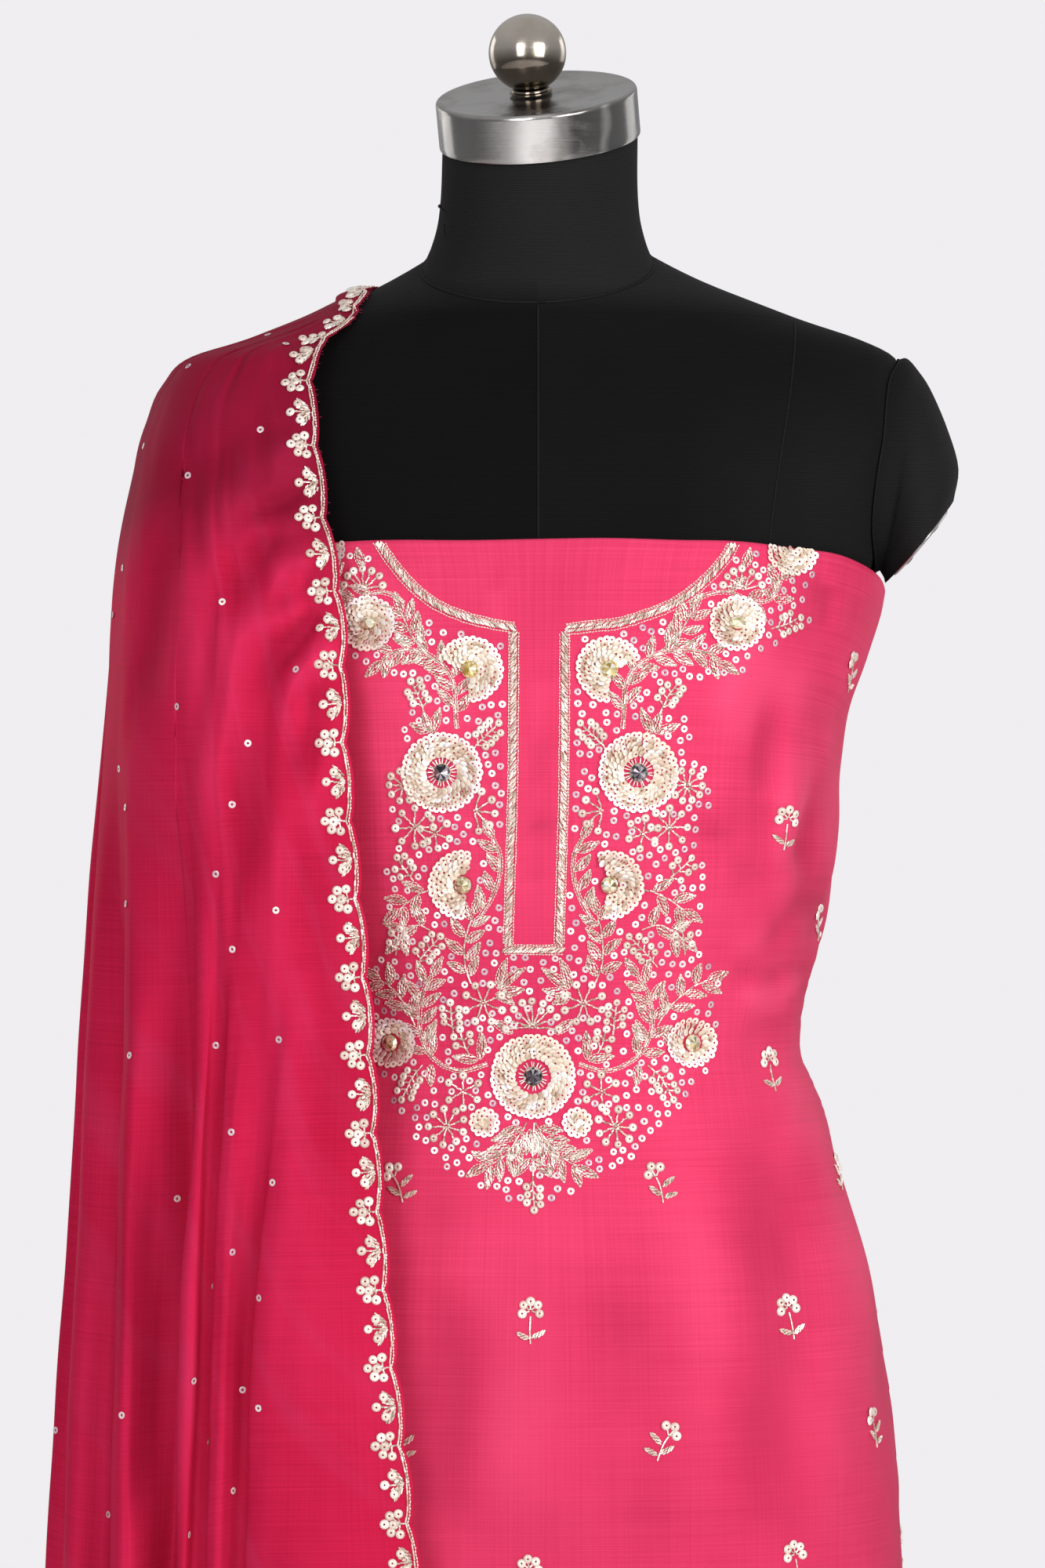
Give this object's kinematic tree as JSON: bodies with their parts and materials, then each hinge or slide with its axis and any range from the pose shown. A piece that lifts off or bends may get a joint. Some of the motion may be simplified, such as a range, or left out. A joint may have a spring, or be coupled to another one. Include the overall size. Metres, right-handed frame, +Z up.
{
  "type": "salwar kameez suit on a dress form",
  "caption": "Pink silk salwar kameez suit in uncut lengths, wrapped and draped on a black limbless dress form with a steel neck cap and round stand.",
  "frame": {"origin": "centre of the stand base's underside, on the floor", "axes": "+Z up along the stand's pole, the form's front faces -Y, +X is the form's left side, bare of the dupatta"},
  "size_m": [0.4964, 0.3733, 1.5593],
  "materials": {
    "kameez_silk": "hot pink silk, soft sheen, fine weave",
    "dupatta_silk": "thin slightly see-through silk, darker pink",
    "salwar_silk": "plain pink silk",
    "form_cover": "black finely ribbed cover",
    "cap_steel": "brushed, worn on top",
    "ball_steel": "polished",
    "stand_steel": "brushed"
  },
  "bodies": {
    "root": {"arm_cap_left": "form_cover", "arm_cap_right": "form_cover", "arm_plate_left": "cap_steel", "arm_plate_right": "cap_steel", "cap_ball": "ball_steel", "cap_collar": "ball_steel", "dupatta": "dupatta_silk", "form_neck": "form_cover", "form_torso": "form_cover", "kameez_length": "kameez_silk", "neck_cap": "cap_steel", "salwar_length": "salwar_silk", "stand_base": "stand_steel", "stand_hub": "stand_steel", "stand_pole": "stand_steel"}
  },
  "joints": []
}
